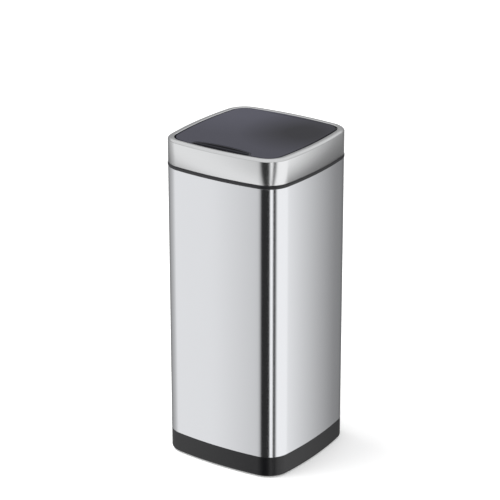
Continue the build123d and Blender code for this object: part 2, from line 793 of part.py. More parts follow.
def bracket_bores(x):
    """Shaft holes through the bracket's walls, up to an X."""
    fit = gear_shaft_radius + running_fit
    start, end = bracket_left - over, x + over
    bores = rod(second_y, second_z, fit, start, end) + rod(first_y, first_z, fit, start, end)
    return bores + rod(motor_y, motor_z, motor_shaft_radius + running_fit, bracket_right - over, end)


def gear_side_plate():
    """Left bearing plate, screwed to the bracket's floor."""
    plate = along_x(bracket_face(), 0, 0, bracket_left, bracket_left + bracket_wall)
    return plate - bracket_bores(bracket_left + bracket_wall)


def drive_motor():
    """Brushed motor can with its end cap, flanged to the bracket."""
    end = motor_start + motor_length
    motor = rod(motor_y, motor_z, motor_radius, motor_start, end)
    motor = fillet(motor.edges().filter_by(GeomType.CIRCLE), motor_cap_step)
    cap_end = end + motor_cap_length
    motor += rod(motor_y, motor_z, motor_radius - 2 * motor_cap_step, end - motor_cap_step, cap_end)
    for side in (-1, 1):
        y = motor_y + side * motor_terminal_spacing / 2
        motor += block(end, cap_end + motor_terminal, y - motor_terminal / 2, y + motor_terminal / 2,
                       motor_z - motor_terminal / 2, motor_z + motor_terminal / 2)
    return motor - rod(motor_y, motor_z, motor_shaft_radius + running_fit, motor_start - over,
                       motor_start + motor_length / 2 + slip_fit)


def circuit_board():
    """Control board with its relay, capacitor, chip and connector."""
    bottom = shelf_top + board_standoff
    top = bottom + board_thickness
    x, y = board_centre_x, board_centre_y
    left, right = x - board_size_x / 2, x + board_size_x / 2
    front, back = y - board_size_y / 2, y + board_size_y / 2
    board = block(left, right, front, back, bottom, top)
    relay_left, relay_front = left + component_margin, front + relay_inset
    board += block(relay_left, relay_left + relay_length, relay_front, relay_front + relay_width,
                   top, top + relay_height)
    board += post(right - component_margin / 2 - capacitor_radius, relay_front + relay_width / 2,
                  capacitor_radius, top, top + capacitor_height)
    chip_front = y - chip_size / 2 + chip_shift
    board += block(x - chip_size / 2, x + chip_size / 2, chip_front, chip_front + chip_size,
                   top, top + chip_height)
    board += block(left + component_margin, right - component_margin, back - relay_inset - plug_width,
                   back - relay_inset, top, top + plug_height)
    return board


def battery_well(margin, bottom, top):
    """Plan of the battery compartment's opening in the shelf."""
    x0 = cell_start_x - contact_thickness
    y0 = cell_row_y - cell_row_pitch / 2 - cell_radius
    y1 = cell_row_y + cell_row_pitch / 2 + cell_radius
    return block(x0 - margin, battery_end + margin, y0 - margin, y1 + margin, bottom, top)


def battery_box():
    """Box over the four cells, open below."""
    top = shelf_top + door_gap + 2 * cell_radius + battery_clear
    outer = battery_well(door_gap + battery_wall, shelf_top, top + battery_wall)
    outer = fillet(outer.edges().group_by(Axis.Z)[-1], battery_round)
    return outer - battery_well(door_gap, shelf_top - over, top)


def battery_cells():
    cells = []
    for row in (-1, 1):
        for place in (0, 1):
            start = cell_start_x + place * (cell_length + cell_gap)
            y = cell_row_y + row * cell_row_pitch / 2
            z = shelf_top + door_gap + cell_radius
            length = cell_length - cell_button_height
            end = start + length
            cell = rod(y, z, cell_radius, start, end)
            cell = fillet(cell.edges().filter_by(GeomType.CIRCLE), cell_round)
            cells.append(cell + rod(y, z, cell_button_radius, end - cell_round, end + cell_button_height))
    return Compound(cells)


def battery_contacts():
    """Spring plates at both ends of the cell rows."""
    z = shelf_top + door_gap + cell_radius
    contacts = []
    for row in (-1, 1):
        y = cell_row_y + row * cell_row_pitch / 2
        for x in (cell_start_x - contact_thickness, battery_end - contact_thickness):
            contacts.append(block(x + contact_clear, x + contact_thickness - contact_clear,
                                  y - contact_width / 2, y + contact_width / 2,
                                  z - contact_height / 2, z + contact_height / 2))
    return Compound(contacts)


def battery_door():
    """Door under the head that closes the battery compartment, with a finger recess."""
    door = battery_well(0, shelf_bottom, shelf_bottom + door_thickness)
    box = door.bounding_box()
    middle = (box.min.Y + box.max.Y) / 2
    recess = Pos(box.min.X + finger_recess_radius, middle, shelf_bottom) * Sphere(finger_recess_radius)
    recess &= block(box.min.X, box.max.X, box.min.Y, box.max.Y,
                    shelf_bottom - over, shelf_bottom + door_rib)
    return door - recess


def bay_cover():
    """Plate over the mechanism bay behind the chute, open above the gears."""
    cover = prism(frame_inset + frame_wall + cover_gap, cover_bottom, cover_top)
    cover &= block(-half, half, throat_back + chute_wall + cover_gap, half, cover_bottom, cover_top)
    box = bracket_face().bounding_box()
    cover -= block(bracket_left - cover_gap, motor_start + cover_gap, box.min.X - cover_gap,
                   hinge_y + sector_teeth * sector_module / 2 + 2 * sector_module,
                   cover_bottom - over, cover_top + over)
    for sign in (-1, 1):
        x0, x1 = sorted((sign * (hinge_pin_outer - ear_thickness - cover_gap), sign * half))
        cover -= block(x0, x1, hinge_y - ear_half - cover_gap, hinge_y + ear_half + cover_gap,
                       cover_bottom - over, cover_top + over)
    for x, y in screw_places:
        cover -= post(x, y, screw_radius + running_fit, cover_bottom - over, cover_top + over)
    return cover


def cover_screws():
    screws = []
    for x, y in screw_places:
        head = post(x, y, screw_head_radius, cover_top, cover_top + screw_head_height)
        head = fillet(head.edges().filter_by(GeomType.CIRCLE).sort_by(Axis.Z)[-1], screw_head_round)
        screws.append(head + post(x, y, screw_radius, cover_top - screw_length, cover_top))
    return Compound(screws)


def switch_body():
    """Rocker switch housing with its bezel, fixed in the back of the head."""
    z = overall_height - switch_z_drop
    low, high = half - switch_depth + switch_back_gap, half + switch_bezel_proud
    body = block(switch_x - switch_width / 2, switch_x + switch_width / 2, low, half,
                 z - switch_height / 2, z + switch_height / 2)
    edge = switch_bezel_margin
    bezel = block(switch_x - switch_width / 2 - edge, switch_x + switch_width / 2 + edge,
                  half - switch_bezel_depth, high,
                  z - switch_height / 2 - edge, z + switch_height / 2 + edge)
    body += bezel - prism(-running_fit, 0, overall_height)
    wall = switch_wall
    body -= block(switch_x - switch_width / 2 + wall, switch_x + switch_width / 2 - wall,
                  low + wall, high + over,
                  z - switch_height / 2 + wall / 2, z + switch_height / 2 - wall / 2)
    pivot = half - switch_depth / 3
    seat = switch_width / 2 - rocker_pin_seat
    return body - rod(pivot, z, rocker_pin_radius + running_fit, switch_x - seat, switch_x + seat)


def switch_rocker():
    """Rocker with a shallow V face, resting tipped to its off side."""
    z = overall_height - switch_z_drop
    pivot = half - switch_depth / 3
    tall = switch_height / 2 - switch_wall / 2 - 3 * rocker_gap
    low = rocker_taper * tall
    x0 = switch_x - switch_width / 2 + switch_wall + rocker_gap
    x1 = switch_x + switch_width / 2 - switch_wall - rocker_gap
    face = make_face(Polyline(
        (-rocker_back, -low), (rocker_proud, -tall), (rocker_proud - rocker_dip, 0), (rocker_proud, tall),
        (-rocker_back, low), (-rocker_back, -low)))
    rocker = extrude(Plane.YZ * face, x1 - x0, dir=(1, 0, 0))
    pin_span = switch_width - 2 * rocker_pin_seat - 2 * slip_fit
    pin = Pos((x1 - x0) / 2, 0, 0) * Rot(0, 90, 0) * Cylinder(rocker_pin_radius, pin_span)
    return Pos(x0, pivot, z) * Rot(rocker_tilt, 0, 0) * (rocker + pin)


def sensor_housing():
    """Lens-shaped tub that holds the sensor board under its window."""
    tub = slab(pod_outline(0), pod_bottom, pod_top)
    inner = slab(pod_outline(pod_wall), pod_bottom + pod_wall, pod_top + over)
    return tub - inner


def sensor_window():
    """Gloss window that closes the tub, slightly below the rim."""
    return slab(pod_outline(pod_wall + running_fit), pod_top - window_thickness, pod_top)


def sensor_board():
    """Small board with its emitter and receiver eyes."""
    y = opening_y - opening_half_y + pod_depth / 2 + sensor_board_setback
    bottom = pod_bottom + pod_wall
    board = block(-sensor_board_half, sensor_board_half,
                  y - sensor_board_depth / 2, y + sensor_board_depth / 2,
                  bottom, bottom + sensor_board_thickness)
    for sign in (-1, 1):
        top = bottom + sensor_board_thickness + sensor_eye_height
        eye = post(sign * sensor_eye_spacing / 2, y, sensor_eye_radius, bottom, top - sensor_eye_radius / 2)
        dome = Pos(sign * sensor_eye_spacing / 2, y, top - sensor_eye_radius) * Sphere(sensor_eye_radius)
        board += eye + dome
    return board


PARTS = {
    "base_tray": base_tray,
    "rubber_feet": rubber_feet,
    "steel_sleeve": steel_sleeve,
    "trim_collar": trim_collar,
    "inner_bucket": inner_bucket,
    "bucket_handle": bucket_handle,
    "head_shell": head_shell,
    "head_frame": head_frame,
    "rear_strip": rear_strip,
    "bay_cover": bay_cover,
    "cover_screws": cover_screws,
    "flap_skin": flap_skin,
    "flap_liner": flap_liner,
    "hinge_pins": hinge_pins,
    "sector_gear": sector_gear,
    "second_gear": second_gear,
    "first_gear": first_gear,
    "motor_pinion": motor_pinion,
    "gear_bracket": gear_bracket,
    "gear_side_plate": gear_side_plate,
    "drive_motor": drive_motor,
    "circuit_board": circuit_board,
    "battery_box": battery_box,
    "battery_cells": battery_cells,
    "battery_contacts": battery_contacts,
    "battery_door": battery_door,
    "switch_body": switch_body,
    "switch_rocker": switch_rocker,
    "sensor_housing": sensor_housing,
    "sensor_window": sensor_window,
    "sensor_board": sensor_board,
}

os.makedirs("parts", exist_ok=True)
for node, build in PARTS.items():
    export_step(build(), f"parts/{node}.step")
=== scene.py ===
import math

import bmesh
import bpy
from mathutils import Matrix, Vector


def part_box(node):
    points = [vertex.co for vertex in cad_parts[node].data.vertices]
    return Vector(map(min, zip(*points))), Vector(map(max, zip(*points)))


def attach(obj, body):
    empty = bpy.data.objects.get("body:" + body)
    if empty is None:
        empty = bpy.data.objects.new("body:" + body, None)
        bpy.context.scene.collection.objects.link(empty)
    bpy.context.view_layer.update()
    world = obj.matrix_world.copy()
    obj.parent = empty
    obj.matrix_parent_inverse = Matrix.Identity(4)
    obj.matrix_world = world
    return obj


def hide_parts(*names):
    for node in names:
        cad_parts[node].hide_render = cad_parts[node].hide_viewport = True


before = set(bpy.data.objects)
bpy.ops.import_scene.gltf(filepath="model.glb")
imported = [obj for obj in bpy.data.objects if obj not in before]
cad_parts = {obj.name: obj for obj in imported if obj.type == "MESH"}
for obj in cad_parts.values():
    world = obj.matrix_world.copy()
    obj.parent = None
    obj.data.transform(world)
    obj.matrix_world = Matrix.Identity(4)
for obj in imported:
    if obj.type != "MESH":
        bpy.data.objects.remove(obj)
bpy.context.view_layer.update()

# Sizes of the outer form, in metres
HEIGHT = 0.650
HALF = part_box("steel_sleeve")[1][0]
SIDE_BOW = 0.740
CORNER = 0.047
RIM_FRONT = 0.0120
RIM_SIDE = 0.0138
RIM_ROUND = 0.0045
RIM_ROLL = 0.0095
SHEET = 0.0008
RETURN_HEIGHT = 0.009
WELD_DEPTH = 0.0003
HEAD_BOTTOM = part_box("head_shell")[0][2]
SLEEVE_BOTTOM, SLEEVE_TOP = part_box("steel_sleeve")[0][2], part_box("steel_sleeve")[1][2]
COLLAR_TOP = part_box("trim_collar")[1][2]
COLLAR_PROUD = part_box("trim_collar")[1][0] - HALF
OPENING_HALF_X = HALF - RIM_SIDE
OPENING_HALF_Y = HALF - (RIM_FRONT + RIM_SIDE) / 2
OPENING_Y = (RIM_FRONT - RIM_SIDE) / 2
WINDOW_MIDDLE = -(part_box("sensor_window")[0][1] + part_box("sensor_window")[1][1]) / 2
SIDE_STEPS = 40
CORNER_STEPS = 24
HEM = 0.0004
HEAD_HEM = 0.0002
RETURN_LIP = 0.0014

# Collar below its bead: wall inside the sleeve, skirt and the ledge that carries the bucket
BEAD_RADIUS = 0.0026
BEAD_INNER_INSET = 0.0055
BEAD_STEP = 0.002
SKIRT_OUTER_INSET = 0.001
SKIRT_INSET = 0.0035
SKIRT_BOTTOM = 0.5675
LEDGE_INSET = 0.012
LEDGE_TOP = 0.5855
LEDGE_BOTTOM = 0.583

# Screws over the mechanism bay
SCREW_HEAD_RADIUS = 0.0030
SCREW_SHANK_RADIUS = 0.0015
SCREW_HEAD_HEIGHT = 0.0018
SCREW_TIP = 0.001
RECESS_WIDTH = 0.0007
RECESS_LENGTH = 0.0034
RECESS_BOTTOM, RECESS_TOP = -0.0011, 0.0002
RECESS_TAPER = 0.45
MERGE_DISTANCE = 0.00001
SCREW_SEED = 4

# Cells in their box, along the X axis
CELLS_START = 0.092
CELL_REPEAT = 0.0505

# Camera, fitted to the photograph's viewing angle
VIEW_AZIMUTH = math.radians(34.11)
VIEW_PITCH = math.radians(21.258)
CAMERA_DISTANCE = 4.0
CAMERA_HEIGHT = 1.965
LENS = 159.04
SENSOR = 36.0
SHIFT_X = -0.0131


def make_camera():
    """Camera at the photograph's angle: level roll, looking a little down on the bin."""
    data = bpy.data.cameras.new("camera")
    data.lens = LENS
    data.sensor_width = SENSOR
    data.sensor_fit = "HORIZONTAL"
    data.shift_x = SHIFT_X
    data.clip_end = 50
    camera = bpy.data.objects.new("camera", data)
    bpy.context.collection.objects.link(camera)
    camera.location = (CAMERA_DISTANCE * math.sin(VIEW_AZIMUTH), -CAMERA_DISTANCE * math.cos(VIEW_AZIMUTH),
                       CAMERA_HEIGHT)
    camera.rotation_euler = (math.pi / 2 - VIEW_PITCH, 0, VIEW_AZIMUTH)
    bpy.context.scene.camera = camera


class Wire:
    """A shader socket that takes part in arithmetic, adding its own Math nodes."""

    def __init__(self, tree, socket):
        self.tree, self.socket = tree, socket

    def maths(self, operation, *others):
        node = self.tree.nodes.new("ShaderNodeMath")
        node.operation = operation
        for place, value in enumerate((self, *others)):
            if isinstance(value, Wire):
                self.tree.links.new(value.socket, node.inputs[place])
            else:
                node.inputs[place].default_value = value
        return Wire(self.tree, node.outputs[0])

    def __add__(self, other):
        return self.maths("ADD", other)

    def __mul__(self, other):
        return self.maths("MULTIPLY", other)

    def __sub__(self, other):
        return self.maths("SUBTRACT", other)

    def __rsub__(self, other):
        return (self * -1.0).maths("ADD", other)

    __radd__, __rmul__ = __add__, __mul__


class Finish:
    """A material under construction, with one method that adds any node."""

    def __init__(self, name, **constants):
        self.material = bpy.data.materials.new(name)
        self.material.use_nodes = True
        self.tree = self.material.node_tree
        self.shader = self.tree.nodes["Principled BSDF"]
        for socket, value in constants.items():
            self.shader.inputs[socket.replace("_", " ")].default_value = value

    def node(self, kind, settings=None, output=0, **values):
        node = self.tree.nodes.new(kind)
        for key, value in (settings or {}).items():
            if key == "stops":
                set_stops(node.color_ramp, value)
            else:
                setattr(node, key, value)
        for socket, value in values.items():
            key = int(socket[1:]) if socket[1:].isdigit() else socket.replace("_", " ")
            target = node.inputs[key]
            if isinstance(value, Wire):
                self.tree.links.new(value.socket, target)
            else:
                target.default_value = value
        return Wire(self.tree, node.outputs[output])

    def place(self):
        """Object coordinates, in metres."""
        return self.node("ShaderNodeTexCoord", output=3)

    def stretched(self, scale):
        return self.node("ShaderNodeMapping", Vector=self.place(), Scale=scale)

    def noise(self, vector, scale, detail=2.0, roughness=0.5):
        return self.node("ShaderNodeTexNoise", Vector=vector, Scale=scale, Detail=detail,
                         Roughness=roughness)

    def ramp(self, factor, stops):
        return self.node("ShaderNodeValToRGB", {"stops": stops}, Fac=factor)

    def mix(self, factor, first, second):
        return self.node("ShaderNodeMix", {"data_type": "RGBA"}, output=2, Factor=factor,
                         i6=first, i7=second)

    def feed(self, socket, wire):
        self.tree.links.new(wire.socket, self.shader.inputs[socket])

    def bump(self, height, depth, strength=1.0):
        self.feed("Normal", self.node("ShaderNodeBump", Height=height, Distance=depth, Strength=strength))


def set_stops(ramp, stops):
    """Sets a colour ramp's stops from (place, colour) pairs. A colour may be one grey level."""
    while len(ramp.elements) < len(stops):
        ramp.elements.new(0.5)
    for element, (place, colour) in zip(ramp.elements, stops):
        element.position = place
        element.color = (colour,) * 3 + (1,) if isinstance(colour, (int, float)) else (*colour, 1)


def edge_wear(finish, light, width=0.0015):
    """A mask that is 1 on sharp outer edges, from the bevelled normal's turn."""
    bevel = finish.node("ShaderNodeBevel", Radius=width)
    normal = finish.node("ShaderNodeNewGeometry", output=1)
    turn = finish.node("ShaderNodeVectorMath", {"operation": "DOT_PRODUCT"}, output=1, i0=bevel, i1=normal)
    return (1 - turn).maths("MULTIPLY", light).maths("MINIMUM", 1.0)


def hairline_steel(name, tone, roughness, across=(6, 6, 1500)):
    """Stainless sheet with level hairline grain, a few longer scratches and soft smudges."""
    finish = Finish(name, Metallic=1.0)
    grain = finish.noise(finish.stretched(across), 1.0, 3.0, 0.6)
    long_grain = finish.noise(finish.stretched(tuple(c * 0.35 for c in across)), 1.0, 1.0)
    smudge = finish.noise(finish.place(), 9.0, 3.0)
    low = tuple(c * 0.965 for c in tone)
    shade = finish.mix(grain * 0.7 + long_grain * 0.3, (*low, 1), (*tone, 1))
    finish.feed("Base Color", shade)
    finish.feed("Roughness", roughness - 0.03 + grain * 0.05 + smudge * 0.02)
    finish.bump(grain, 0.0000012)
    return finish.material


def moulded_plastic(name, tone, roughness, grain_scale=2600.0, depth=0.00004, wear=0.5):
    """Injection-moulded plastic: fine spark grain, slight tone drift, edges a little rubbed."""
    finish = Finish(name)
    grain = finish.noise(finish.place(), grain_scale, 2.0, 0.6)
    drift = finish.noise(finish.place(), 14.0, 2.0)
    low = tuple(c * 0.88 for c in tone)
    shade = finish.mix(drift, (*low, 1), (*tone, 1))
    rubbed = tuple(min(1, c * 1.5 + 0.015) for c in tone)
    finish.feed("Base Color", finish.mix(edge_wear(finish, 2.0) * wear, shade, (*rubbed, 1)))
    finish.feed("Roughness", roughness - 0.04 + grain * 0.05 + drift * 0.03)
    finish.bump(grain, depth)
    return finish.material


def bright_metal(name, tone, roughness, scale=400.0):
    finish = Finish(name, Metallic=1.0)
    cloud = finish.noise(finish.place(), scale, 3.0)
    low = tuple(c * 0.9 for c in tone)
    finish.feed("Base Color", finish.mix(cloud, (*low, 1), (*tone, 1)))
    finish.feed("Roughness", roughness - 0.03 + cloud * 0.06)
    return finish.material


def gloss_plastic(name, tone, roughness):
    """Polished plastic with the faintest orange peel and dust."""
    finish = Finish(name, Coat_Weight=0.6, Coat_Roughness=0.04)
    peel = finish.noise(finish.place(), 180.0, 1.0)
    dust = finish.ramp(finish.noise(finish.place(), 900.0, 4.0), ((0.62, 0.0), (0.78, 1.0)))
    pale = tuple(c + 0.02 for c in tone)
    finish.feed("Base Color", finish.mix(dust, (*tone, 1), (*pale, 1)))
    finish.feed("Roughness", roughness + peel * 0.05)
    finish.bump(peel, 0.00001)
    return finish.material


def lid_plastic_painted_shade(name, light, dark, roughness):
    """Satin lid plastic with painted shade, a little deeper towards the back right corner, and a painted
    sheen, paler towards the back left.
    """
    finish = Finish(name, Specular_IOR_Level=0.22)
    # Painted shade: a dark spot towards the back right corner; painted sheen: a pale spot towards the back
    # left
    deep = finish.node("ShaderNodeMapping", Vector=finish.place(), Location=(-0.60, -0.38, -6.4),
                       Scale=(8, 8, 10))
    pale = finish.node("ShaderNodeMapping", Vector=finish.place(), Location=(0.66, -0.66, -6.4),
                       Scale=(6, 6, 10))
    sphere = {"gradient_type": "SPHERICAL"}
    painted_shade_and_sheen = (finish.node("ShaderNodeTexGradient", sphere, Vector=deep) * 0.9 + 0.35
            - finish.node("ShaderNodeTexGradient", sphere, Vector=pale) * 0.5)
    grain = finish.noise(finish.place(), 3200.0, 2.0, 0.6)
    shade = finish.mix(painted_shade_and_sheen, (*light, 1), (*dark, 1))
    speck = finish.mix(grain * 0.25, shade, (*dark, 1))
    finish.feed("Base Color", speck)
    finish.feed("Roughness", roughness + grain * 0.04)
    finish.bump(grain, 0.000012)
    return finish.material


def tinted_window(name):
    """Dark infrared window: nearly black, with a faint paler streak along its middle that is a painted
    reflection.
    """
    finish = Finish(name, IOR=1.08)
    split = finish.node("ShaderNodeSeparateXYZ", output=1, Vector=finish.place())
    # Painted reflection: a paler streak along the window's middle, its strength varied by the dust noise
    painted_reflection_streak = finish.ramp((split + WINDOW_MIDDLE) * 60.0 + 0.5,
                         ((0.30, 0.0), (0.48, 1.0), (0.60, 1.0), (0.75, 0.0)))
    dust = finish.noise(finish.place(), 260.0, 3.0)
    shade = finish.mix(painted_reflection_streak * (0.55 + dust * 0.6), (0.002, 0.002, 0.004, 1), (0.022, 0.022, 0.027, 1))
    finish.feed("Base Color", shade)
    finish.feed("Roughness", 0.10 + dust * 0.05)
    return finish.material


def circuit_green(name):
    """Solder mask over copper tracks."""
    finish = Finish(name)
    tracks = finish.node("ShaderNodeTexBrick", {"offset": 0.5}, output=1, Vector=finish.place(),
                         Scale=380.0, Mortar_Size=0.04)
    cloud = finish.noise(finish.place(), 300.0, 2.0)
    green = finish.mix(cloud, (0.012, 0.10, 0.035, 1), (0.02, 0.14, 0.05, 1))
    finish.feed("Base Color", finish.mix(tracks, green, (0.05, 0.24, 0.09, 1)))
    finish.feed("Roughness", 0.3 + cloud * 0.15)
    return finish.material


def cell_jacket(name):
    """Plain shrink jacket of a dry cell: dark body with a copper band at one end."""
    finish = Finish(name)
    x = finish.node("ShaderNodeSeparateXYZ", Vector=finish.place())
    along = (x + CELLS_START).maths("PINGPONG", CELL_REPEAT)
    band = finish.ramp(along * 20.0, ((0.0, (0.55, 0.30, 0.12)), (0.22, (0.55, 0.30, 0.12)),
                                      (0.23, (0.03, 0.03, 0.035)), (1.0, (0.03, 0.03, 0.035))))
    cloud = finish.noise(finish.place(), 120.0, 2.0)
    finish.feed("Base Color", band)
    finish.feed("Roughness", 0.25 + cloud * 0.1)
    return finish.material


def outline(half_x, half_y, middle_y, bow, corner):
    """Points round a square with bowed sides and tangent corner arcs, anticlockwise from +X."""
    side_x, side_y = half_x - bow, half_y - bow
    reach = bow - corner
    span = math.hypot(side_x, side_y)
    rise = math.sqrt(reach**2 - span**2 / 4)
    centre = (side_x / 2 - rise * side_y / span, side_y / 2 - rise * side_x / span)
    side_turn = math.atan2(centre[1], centre[0] - side_x)
    back_turn = math.atan2(centre[1] - side_y, centre[0])
    quarter = []
    for k in range(SIDE_STEPS // 2):
        turn = side_turn * k / (SIDE_STEPS // 2)
        quarter.append((side_x + bow * math.cos(turn), bow * math.sin(turn)))
    for k in range(CORNER_STEPS):
        turn = side_turn + (back_turn - side_turn) * k / CORNER_STEPS
        quarter.append((centre[0] + corner * math.cos(turn), centre[1] + corner * math.sin(turn)))
    for k in range(SIDE_STEPS // 2):
        turn = back_turn + (math.pi / 2 - back_turn) * k / (SIDE_STEPS // 2)
        quarter.append((bow * math.cos(turn), side_y + bow * math.sin(turn)))
    left = [(-x, y) for x, y in reversed(quarter[1:])]
    top = quarter + [(0, half_y)] + left
    bottom = [(-x, -y) for x, y in top]
    return [(x, y + middle_y) for x, y in top + bottom]


def body_ring(inset):
    return outline(HALF - inset, HALF - inset, 0, SIDE_BOW - inset, CORNER - inset)


def opening_ring(inset):
    return outline(OPENING_HALF_X - inset, OPENING_HALF_Y - inset, OPENING_Y,
                   SIDE_BOW - RIM_SIDE - inset, CORNER - RIM_SIDE - inset)


def round_turn(inset, z, radius, start, end, steps=6, stretch=1.0):
    """Profile points round an arc about (inset, z), from outwards at 0 to upwards at 90 degrees."""
    points = []
    for k in range(steps + 1):
        turn = math.radians(start + (end - start) * k / steps)
        points.append((inset - stretch * radius * math.cos(turn), z + radius * math.sin(turn)))
    return points


def loop_mesh(name, rings, closed=True):
    """A mesh skinned over rings of points, each (outline points, height)."""
    mesh = bpy.data.meshes.new(name)
    bm = bmesh.new()
    rows = [[bm.verts.new((x, y, z)) for x, y in points] for points, z in rings]
    pairs = list(zip(rows, rows[1:]))
    if closed:
        pairs.append((rows[-1], rows[0]))
    count = len(rows[0])
    for low, high in pairs:
        for k in range(count):
            following = (k + 1) % count
            bm.faces.new((low[k], low[following], high[following], high[k]))
    bm.normal_update()
    bmesh.ops.recalc_face_normals(bm, faces=bm.faces)
    bm.to_mesh(mesh)
    bm.free()
    mesh.shade_smooth()
    thing = bpy.data.objects.new(name, mesh)
    bpy.context.collection.objects.link(thing)
    return thing


def set_sharp(thing, angle=35):
    """Marks the turns of a mesh that stay crisp."""
    bpy.context.view_layer.objects.active = thing
    thing.data.set_sharp_from_angle(angle=math.radians(angle))


def dress(thing, material, body, *nodes):
    """Gives a modelled piece its finish and its body, and hides the nodes that it stands for."""
    thing.data.materials.clear()
    thing.data.materials.append(material)
    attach(thing, body)
    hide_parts(*nodes)


def welded_ring(inset):
    """The sleeve's outline with its butt weld pressed in at the middle of the back."""
    points = body_ring(inset)
    middle = max(range(len(points)), key=lambda k: points[k][1])
    y = points[middle][1]
    groove = ((0.0006, 0), (0.0004, WELD_DEPTH), (-0.0004, WELD_DEPTH), (-0.0006, 0))
    weld = [(x, y - depth) for x, depth in groove]
    return points[:middle] + weld + points[middle + 1:]


def make_sleeve(steel):
    """Rolled steel sleeve with a faint hem line at both ends."""
    rings = [(welded_ring(HEM), SLEEVE_BOTTOM), (welded_ring(0), SLEEVE_BOTTOM + HEM),
             (welded_ring(0), SLEEVE_TOP - HEM), (welded_ring(HEM), SLEEVE_TOP),
             (welded_ring(SHEET), SLEEVE_TOP), (welded_ring(SHEET), SLEEVE_BOTTOM)]
    sleeve = loop_mesh("sleeve_sheet", rings)
    set_sharp(sleeve)
    dress(sleeve, steel, "bin_body", "steel_sleeve")


def make_collar(plastic):
    """Rounded bead between body and head, with the skirt and the bucket's ledge below it."""
    low, high = SLEEVE_TOP, COLLAR_TOP
    turn_inset = BEAD_RADIUS - COLLAR_PROUD
    profile = round_turn(turn_inset, low + BEAD_RADIUS, BEAD_RADIUS, -90, 0)
    profile += round_turn(turn_inset, high - BEAD_RADIUS, BEAD_RADIUS, 0, 90)
    profile += [(BEAD_INNER_INSET, high), (BEAD_INNER_INSET, low + BEAD_STEP),
                (SKIRT_INSET, low + BEAD_STEP), (SKIRT_INSET, LEDGE_TOP),
                (LEDGE_INSET, LEDGE_TOP), (LEDGE_INSET, LEDGE_BOTTOM),
                (SKIRT_INSET, LEDGE_BOTTOM), (SKIRT_INSET, SKIRT_BOTTOM),
                (SKIRT_OUTER_INSET, SKIRT_BOTTOM), (SKIRT_OUTER_INSET, low)]
    collar = loop_mesh("collar_bead", [(body_ring(inset), z) for inset, z in profile])
    set_sharp(collar)
    dress(collar, plastic, "bin_body", "trim_collar")


def make_head(steel):
    """Drawn head: wall, rolled rim, flat rim top and the return down into the opening."""
    inner = RIM_ROUND - SHEET
    lip = RETURN_LIP
    low = HEAD_BOTTOM
    rings = [(body_ring(SHEET), low), (body_ring(HEAD_HEM), low), (body_ring(0), low + HEAD_HEM)]
    roll = RIM_ROLL / RIM_ROUND
    outer_roll = round_turn(RIM_ROLL, HEIGHT - RIM_ROUND, RIM_ROUND, 0, 90, 14, roll)
    rings += [(body_ring(inset), z) for inset, z in outer_roll]
    rings += [(opening_ring(-inset), z) for inset, z in reversed(round_turn(lip, HEIGHT - lip, lip, 0, 90))]
    rings += [(opening_ring(0), HEIGHT - RETURN_HEIGHT), (opening_ring(-SHEET), HEIGHT - RETURN_HEIGHT),
              (opening_ring(-SHEET), HEIGHT - lip), (opening_ring(-lip), HEIGHT - SHEET)]
    inner_roll = round_turn(RIM_ROLL, HEIGHT - RIM_ROUND, inner, 0, 90, 6, (RIM_ROLL - SHEET) / inner)
    rings += [(body_ring(inset), z) for inset, z in reversed(inner_roll)]
    head = loop_mesh("head_sheet", rings)
    set_sharp(head, 50)
    dress(head, steel, "head", "head_shell")


def repeat_tree():
    """Geometry nodes that stand a piece on each point, each turned its own way, and give it a finish."""
    tree = bpy.data.node_groups.new("repeat_on_points", "GeometryNodeTree")
    face = tree.interface
    face.new_socket("Points", in_out="INPUT", socket_type="NodeSocketGeometry")
    face.new_socket("Piece", in_out="INPUT", socket_type="NodeSocketObject")
    face.new_socket("Finish", in_out="INPUT", socket_type="NodeSocketMaterial")
    face.new_socket("Largest turn", in_out="INPUT", socket_type="NodeSocketFloat")
    face.new_socket("Seed", in_out="INPUT", socket_type="NodeSocketInt")
    face.new_socket("Pieces", in_out="OUTPUT", socket_type="NodeSocketGeometry")
    start, end = tree.nodes.new("NodeGroupInput"), tree.nodes.new("NodeGroupOutput")
    info = tree.nodes.new("GeometryNodeObjectInfo")
    turn = tree.nodes.new("FunctionNodeRandomValue")
    turn.data_type = "FLOAT"
    axis = tree.nodes.new("ShaderNodeCombineXYZ")
    stand = tree.nodes.new("GeometryNodeInstanceOnPoints")
    real = tree.nodes.new("GeometryNodeRealizeInstances")
    paint = tree.nodes.new("GeometryNodeSetMaterial")
    links = tree.links
    links.new(start.outputs["Points"], stand.inputs["Points"])
    links.new(start.outputs["Piece"], info.inputs["Object"])
    links.new(start.outputs["Largest turn"], turn.inputs[3])
    links.new(start.outputs["Seed"], turn.inputs["Seed"])
    links.new(turn.outputs[1], axis.inputs["Z"])
    links.new(axis.outputs[0], stand.inputs["Rotation"])
    links.new(info.outputs["Geometry"], stand.inputs["Instance"])
    links.new(stand.outputs[0], real.inputs[0])
    links.new(real.outputs[0], paint.inputs["Geometry"])
    links.new(start.outputs["Finish"], paint.inputs["Material"])
    links.new(paint.outputs[0], end.inputs["Pieces"])
    return tree


def repeat_on_points(name, places, piece, finish, largest_turn, seed):
    """One plain mesh with a copy of a piece on each place."""
    cloud = bpy.data.meshes.new(name + "_points")
    cloud.from_pydata(places, [], [])
    carrier = bpy.data.objects.new(name + "_points", cloud)
    bpy.context.collection.objects.link(carrier)
    modifier = carrier.modifiers.new("repeat", "NODES")
    modifier.node_group = repeat_tree()
    sockets = {item.name: item.identifier for item in modifier.node_group.interface.items_tree
               if item.item_type == "SOCKET"}
    settings = {"Piece": piece, "Finish": finish, "Largest turn": largest_turn, "Seed": seed}
    for label, value in settings.items():
        modifier[sockets[label]] = value
    bpy.context.view_layer.update()
    solved = carrier.evaluated_get(bpy.context.evaluated_depsgraph_get())
    mesh = bpy.data.meshes.new_from_object(solved)
    for gone in (carrier, piece):
        bpy.data.objects.remove(gone)
    thing = bpy.data.objects.new(name, mesh)
    bpy.context.collection.objects.link(thing)
    return thing


